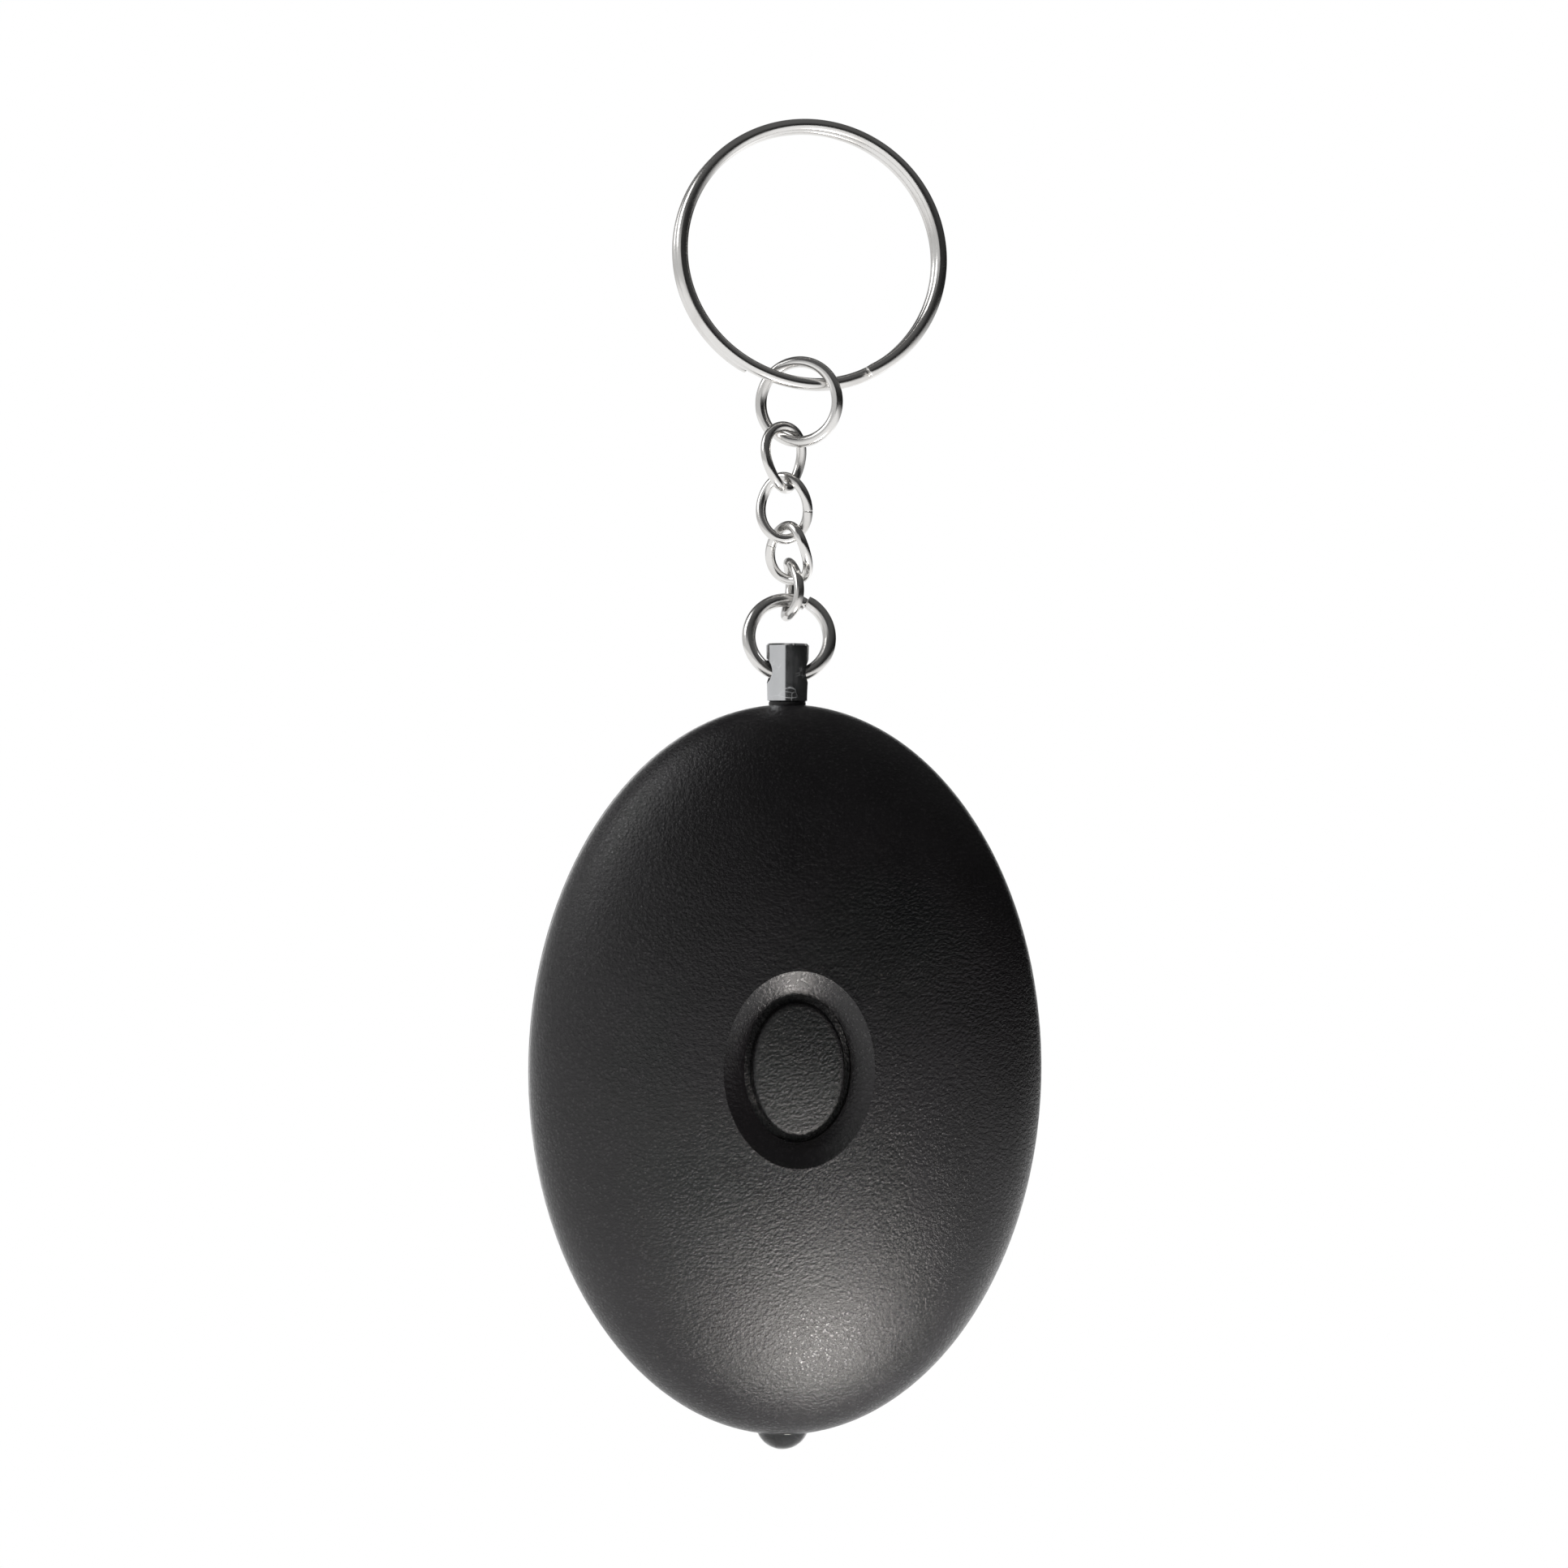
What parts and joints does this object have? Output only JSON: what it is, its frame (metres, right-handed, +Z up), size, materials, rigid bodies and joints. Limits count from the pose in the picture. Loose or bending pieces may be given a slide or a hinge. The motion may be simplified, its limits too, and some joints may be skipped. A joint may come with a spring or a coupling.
{
  "type": "personal safety alarm",
  "caption": "Egg-shaped handheld siren with a light button and lamp, hung from a split keyring by a curb chain and a pull pin.",
  "frame": {"origin": "centre of the keyring, where it hangs from a finger, hook or bag loop", "axes": "+Z up, away from the alarm; -Y towards the front with the light button; +X to the right seen from the front"},
  "size_m": [0.0472, 0.0217, 0.1224],
  "materials": {
    "bright_metal": "polished",
    "chrome": "polished",
    "black_plastic": "satin",
    "clear_lens": "gloss",
    "board": "satin",
    "tinned_metal": "satin",
    "brass_plate": "satin",
    "ceramic": "matte",
    "white_plastic": "satin",
    "copper_winding": "satin",
    "wire_cover": "satin"
  },
  "bodies": {
    "keyring": {"keyring": "bright_metal"},
    "upper_ring": {"upper_ring": "bright_metal"},
    "link_1": {"chain_link_1": "bright_metal"},
    "link_2": {"chain_link_2": "bright_metal"},
    "link_3": {"chain_link_3": "bright_metal"},
    "link_4": {"chain_link_4": "bright_metal"},
    "pin_ring": {"pin_ring": "bright_metal"},
    "pull_pin": {"pin_head": "chrome", "pin_shaft": "black_plastic"},
    "casing": {"front_shell": "black_plastic", "rear_shell": "black_plastic", "battery_cover": "black_plastic", "lamp_lens": "clear_lens", "lamp_leads": "tinned_metal", "circuit_board": "board", "switch_body": "black_plastic", "step_up_inductor": "copper_winding", "driver_transistor": "black_plastic", "controller_chip": "black_plastic", "chip_resistors": "ceramic", "pin_socket": "white_plastic", "contact_leaf_front": "brass_plate", "contact_leaf_rear": "brass_plate", "piezo_plate": "brass_plate", "piezo_ceramic": "ceramic", "sounder_ring": "black_plastic", "piezo_wires": "wire_cover", "button_cell_1": "tinned_metal", "button_cell_2": "tinned_metal", "button_cell_3": "tinned_metal", "battery_spring_contact": "tinned_metal", "battery_flat_contact": "tinned_metal", "case_screws": "tinned_metal", "board_screws": "tinned_metal", "cover_screw": "tinned_metal"},
    "light_button": {"light_button": "black_plastic"},
    "switch_stem": {"switch_stem": "white_plastic"}
  },
  "joints": [
    {"name": "keyring_swing", "type": "hinge", "parent": "keyring", "child": "upper_ring", "pos_m": [0.0002, -0.00095, -0.01196], "axis": [0.9627, 0.2702, -0.01], "range_deg": [-75, 75]},
    {"name": "upper_ring_swing", "type": "hinge", "parent": "upper_ring", "child": "link_1", "pos_m": [-0.00206, 0.00027, -0.01706], "axis": [-0.8352, 0.4176, 0.3579], "range_deg": [-60, 60]},
    {"name": "link_1_swing", "type": "hinge", "parent": "link_1", "child": "link_2", "pos_m": [-0.00209, 0.00019, -0.0215], "axis": [0.5689, 0.8185, 0.0799], "range_deg": [-60, 60]},
    {"name": "link_2_swing", "type": "hinge", "parent": "link_2", "child": "link_3", "pos_m": [-0.00178, 0.00014, -0.02609], "axis": [0.9724, -0.1003, 0.2105], "range_deg": [-30, 18]},
    {"name": "link_3_swing", "type": "hinge", "parent": "link_3", "child": "link_4", "pos_m": [-0.00146, 0.00188, -0.02904], "axis": [0.8393, -0.5196, -0.1599], "range_deg": [-12, 60]},
    {"name": "link_4_swing", "type": "hinge", "parent": "link_4", "child": "pin_ring", "pos_m": [-0.00188, 0.00151, -0.0331], "axis": [-0.0896, -0.9561, -0.2789], "range_deg": [-60, 36]},
    {"name": "pin_swing", "type": "hinge", "parent": "pin_ring", "child": "pull_pin", "pos_m": [-0.00185, 0, -0.03826], "axis": [1, 0, 0], "range_deg": [-90, 90]},
    {"name": "pin_pull", "type": "slide", "parent": "pull_pin", "child": "casing", "axis": [0, 0, -1], "range_m": [0, 0.02]},
    {"name": "button_press", "type": "slide", "parent": "casing", "child": "light_button", "axis": [0, 1, 0], "range_m": [0, 0.0003], "stiffness_N_per_m": 1000},
    {"name": "switch_press", "type": "slide", "parent": "casing", "child": "switch_stem", "axis": [0, 1, 0], "range_m": [0, 0.0003]}
  ],
  "couplings": [
    {"joint": "switch_press", "follows": "button_press", "ratio": 1}
  ]
}
